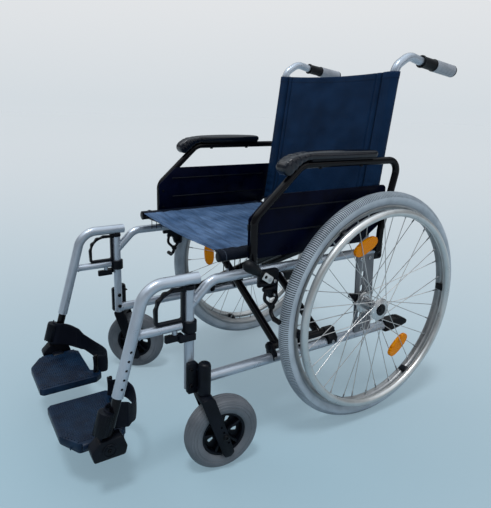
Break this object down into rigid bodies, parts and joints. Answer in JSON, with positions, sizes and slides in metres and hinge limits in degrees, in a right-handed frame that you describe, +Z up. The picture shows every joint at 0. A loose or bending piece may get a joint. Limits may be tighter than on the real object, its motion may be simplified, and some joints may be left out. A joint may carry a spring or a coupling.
{
  "type": "lightweight wheelchair",
  "caption": "Folding self-propelled wheelchair with cross brace, spoked wheels and push rims, casters, swing-away legrests, flip-back padded armrests, wheel locks, sling seat and back.",
  "frame": {"origin": "on the floor, under the middle of the chair's bounding box", "axes": "+Z up, the chair faces -Y, and its user's left side is at +X"},
  "size_m": [0.6504, 1.0803, 0.9451],
  "materials": {
    "silver_powder_coat": "semi-gloss silver blue-grey powder coat on aluminium tube",
    "black_tube": "gloss black coated tube",
    "black_steel": "black coated steel",
    "black_plastic": "matt black moulded plastic",
    "grip": "soft grey and black grip",
    "tyre_grey": "light grey solid tyre with fine tread ribs",
    "caster_grey": "grey caster tyre with grooves",
    "rim_aluminium": "satin aluminium",
    "amber": "amber prismatic lens",
    "navy_nylon": "dark navy woven nylon",
    "arm_pad": "glossy black padded upholstery"
  },
  "bodies": {
    "left_frame": {"left_side_frame": "silver_powder_coat", "left_brace_bearing": "black_steel", "left_cane_clamp": "black_plastic", "left_seat_saddle": "black_plastic", "left_push_grip": "grip", "left_tip_lever": "black_plastic", "left_caster_housing": "black_plastic", "left_lock_body": "black_plastic", "back_sling": "navy_nylon"},
    "brace_a": {"brace_a": "black_tube", "seat_sling": "navy_nylon"},
    "brace_b": {"brace_b": "black_tube"},
    "right_frame": {"right_side_frame": "silver_powder_coat", "right_brace_bearing": "black_steel", "right_cane_clamp": "black_plastic", "right_seat_saddle": "black_plastic", "right_push_grip": "grip", "right_tip_lever": "black_plastic", "right_caster_housing": "black_plastic", "right_lock_body": "black_plastic"},
    "left_armrest": {"left_armrest_frame": "black_tube", "left_arm_pad": "arm_pad", "left_side_panel": "black_plastic"},
    "left_caster_fork": {"left_caster_fork": "black_plastic"},
    "left_caster_wheel": {"left_caster_rim": "black_plastic", "left_caster_tyre": "caster_grey"},
    "left_rear_wheel": {"left_rear_tyre": "tyre_grey", "left_rear_rim": "rim_aluminium", "left_rear_hub": "rim_aluminium", "left_handrim": "rim_aluminium", "left_reflector_upper": "amber", "left_reflector_lower": "amber"},
    "left_lock_lever": {"left_lock_lever": "black_plastic"},
    "left_lock_shoe": {"left_lock_shoe": "black_steel"},
    "left_hanger": {"left_hanger": "silver_powder_coat", "left_hanger_guard": "black_plastic"},
    "left_hanger_latch": {"left_hanger_latch": "black_plastic"},
    "left_footrest": {"left_footrest_tube": "black_tube", "left_heel_strap": "navy_nylon"},
    "left_footplate": {"left_footplate": "black_plastic"},
    "right_armrest": {"right_armrest_frame": "black_tube", "right_arm_pad": "arm_pad", "right_side_panel": "black_plastic"},
    "right_caster_fork": {"right_caster_fork": "black_plastic"},
    "right_caster_wheel": {"right_caster_rim": "black_plastic", "right_caster_tyre": "caster_grey"},
    "right_rear_wheel": {"right_rear_tyre": "tyre_grey", "right_rear_rim": "rim_aluminium", "right_rear_hub": "rim_aluminium", "right_handrim": "rim_aluminium", "right_reflector_upper": "amber", "right_reflector_lower": "amber"},
    "right_lock_lever": {"right_lock_lever": "black_plastic"},
    "right_lock_shoe": {"right_lock_shoe": "black_steel"},
    "right_hanger": {"right_hanger": "silver_powder_coat", "right_hanger_guard": "black_plastic"},
    "right_hanger_latch": {"right_hanger_latch": "black_plastic"},
    "right_footrest": {"right_footrest_tube": "black_tube", "right_heel_strap": "navy_nylon"},
    "right_footplate": {"right_footplate": "black_plastic"}
  },
  "joints": [
    {"name": "fold", "type": "hinge", "parent": "left_frame", "child": "brace_a", "pos_m": [0.225, 0.0395, 0.233], "axis": [0, 1, 0], "range_deg": [0, 48.5], "deforming": ["seat_sling", "back_sling"]},
    {"name": "brace_cross", "type": "hinge", "parent": "brace_a", "child": "brace_b", "pos_m": [0, 0.0395, 0.35842], "axis": [0, 1, 0], "range_deg": [-97.2, 0]},
    {"name": "brace_b_foot", "type": "hinge", "parent": "brace_b", "child": "right_frame", "pos_m": [-0.225, 0.0395, 0.233], "axis": [0, 1, 0], "range_deg": [0, 48.6]},
    {"name": "left_armrest_flip", "type": "hinge", "parent": "left_frame", "child": "left_armrest", "pos_m": [0.2565, 0.265, 0.452], "axis": [-1, 0, 0], "range_deg": [0, 90]},
    {"name": "left_caster_swivel", "type": "hinge", "parent": "left_frame", "child": "left_caster_fork", "pos_m": [0.27, -0.254, 0.22], "axis": [0, 0, 1], "continuous": true},
    {"name": "left_caster_spin", "type": "hinge", "parent": "left_caster_fork", "child": "left_caster_wheel", "pos_m": [0.27435, -0.21122, 0.087], "axis": [0.9949, -0.1011, 0], "continuous": true},
    {"name": "left_wheel_spin", "type": "hinge", "parent": "left_frame", "child": "left_rear_wheel", "pos_m": [0.2864, 0.237, 0.304], "axis": [1, 0, 0], "continuous": true},
    {"name": "left_lock", "type": "hinge", "parent": "left_frame", "child": "left_lock_lever", "pos_m": [0.2695, -0.093, 0.43], "axis": [1, 0, 0], "range_deg": [0, 45]},
    {"name": "left_lock_shoe_turn", "type": "hinge", "parent": "left_frame", "child": "left_lock_shoe", "pos_m": [0.2864, -0.07, 0.387], "axis": [1, 0, 0], "range_deg": [0, 10.3]},
    {"name": "left_legrest_swing", "type": "hinge", "parent": "left_frame", "child": "left_hanger", "pos_m": [0.2355, -0.274, 0.34], "axis": [0, 0, 1], "range_deg": [0, 90]},
    {"name": "left_latch_release", "type": "hinge", "parent": "left_hanger", "child": "left_hanger_latch", "pos_m": [0.2355, -0.308, 0.323], "axis": [0, 0, -1], "range_deg": [0, 18], "stiffness_Nm_per_rad": 0.2},
    {"name": "left_footrest_height", "type": "slide", "parent": "left_hanger", "child": "left_footrest", "axis": [0, 0.2706, 0.9627], "range_m": [-0.04, 0.02]},
    {"name": "left_footplate_flip", "type": "hinge", "parent": "left_footrest", "child": "left_footplate", "pos_m": [0.206, -0.461, 0.11], "axis": [0, 1, 0], "range_deg": [0, 90.1], "deforming": ["left_heel_strap"]},
    {"name": "right_armrest_flip", "type": "hinge", "parent": "right_frame", "child": "right_armrest", "pos_m": [-0.2565, 0.265, 0.452], "axis": [-1, 0, 0], "range_deg": [0, 90]},
    {"name": "right_caster_swivel", "type": "hinge", "parent": "right_frame", "child": "right_caster_fork", "pos_m": [-0.27, -0.254, 0.22], "axis": [0, 0, 1], "continuous": true},
    {"name": "right_caster_spin", "type": "hinge", "parent": "right_caster_fork", "child": "right_caster_wheel", "pos_m": [-0.24382, -0.21989, 0.087], "axis": [0.7934, -0.6088, 0], "continuous": true},
    {"name": "right_wheel_spin", "type": "hinge", "parent": "right_frame", "child": "right_rear_wheel", "pos_m": [-0.2864, 0.237, 0.304], "axis": [1, 0, 0], "continuous": true},
    {"name": "right_lock", "type": "hinge", "parent": "right_frame", "child": "right_lock_lever", "pos_m": [-0.2695, -0.093, 0.43], "axis": [1, 0, 0], "range_deg": [0, 45]},
    {"name": "right_lock_shoe_turn", "type": "hinge", "parent": "right_frame", "child": "right_lock_shoe", "pos_m": [-0.2864, -0.07, 0.387], "axis": [1, 0, 0], "range_deg": [0, 10.3]},
    {"name": "right_legrest_swing", "type": "hinge", "parent": "right_frame", "child": "right_hanger", "pos_m": [-0.2355, -0.274, 0.34], "axis": [0, 0, -1], "range_deg": [0, 90]},
    {"name": "right_latch_release", "type": "hinge", "parent": "right_hanger", "child": "right_hanger_latch", "pos_m": [-0.2355, -0.308, 0.323], "axis": [0, 0, 1], "range_deg": [0, 18], "stiffness_Nm_per_rad": 0.2},
    {"name": "right_footrest_height", "type": "slide", "parent": "right_hanger", "child": "right_footrest", "axis": [0, 0.2706, 0.9627], "range_m": [-0.04, 0.02]},
    {"name": "right_footplate_flip", "type": "hinge", "parent": "right_footrest", "child": "right_footplate", "pos_m": [-0.206, -0.461, 0.11], "axis": [0, -1, 0], "range_deg": [0, 90.1], "deforming": ["right_heel_strap"]}
  ],
  "couplings": [
    {"joint": "brace_cross", "follows": "fold", "ratio": -2},
    {"joint": "brace_b_foot", "follows": "fold", "ratio": 1},
    {"joint": "left_lock_shoe_turn", "follows": "left_lock", "ratio": 0.227},
    {"joint": "left_footplate_flip", "follows": "fold", "ratio": 1.855},
    {"joint": "right_lock_shoe_turn", "follows": "right_lock", "ratio": 0.227},
    {"joint": "right_footplate_flip", "follows": "fold", "ratio": 1.855}
  ]
}
